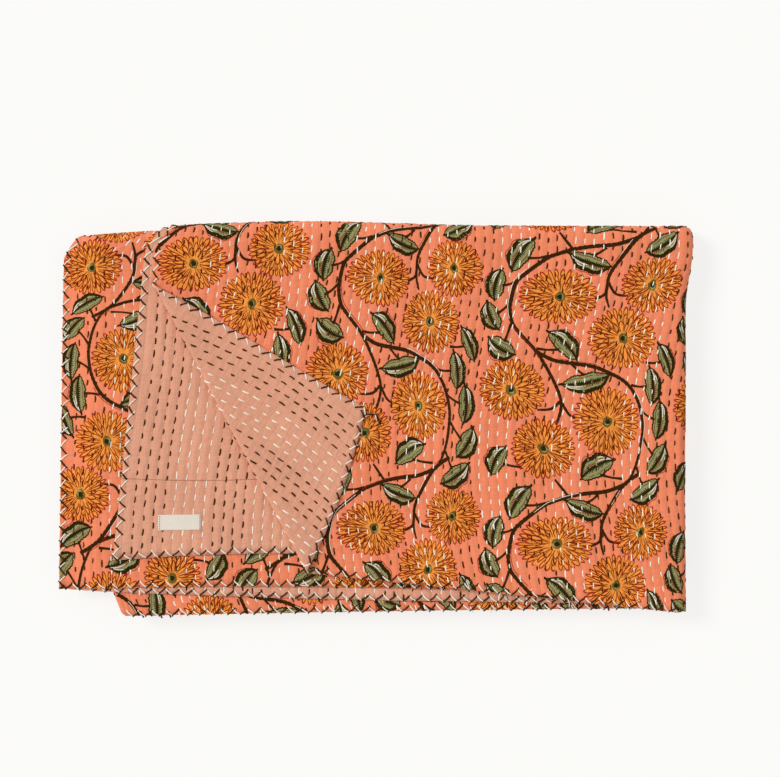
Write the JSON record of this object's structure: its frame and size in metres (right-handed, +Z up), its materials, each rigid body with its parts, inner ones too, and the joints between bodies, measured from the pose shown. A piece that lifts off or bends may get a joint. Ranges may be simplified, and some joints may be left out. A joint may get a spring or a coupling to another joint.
{
  "type": "folded quilted throw blanket",
  "caption": "Hand-quilted cotton throw with a block-printed flower face and plain backing, folded flat with one corner turned back.",
  "frame": {"origin": "middle of the folded block at the surface it lies on", "axes": "+X along the long side, from the free left edges to the right bends, +Y from the near hems to the far crease, +Z up"},
  "size_m": [0.5923, 0.3692, 0.0378],
  "materials": {
    "quilted_cotton": "matt printed cotton",
    "label_tape": "matt woven tape"
  },
  "bodies": {
    "root": {"blanket": "quilted_cotton", "label": "label_tape"}
  },
  "joints": []
}
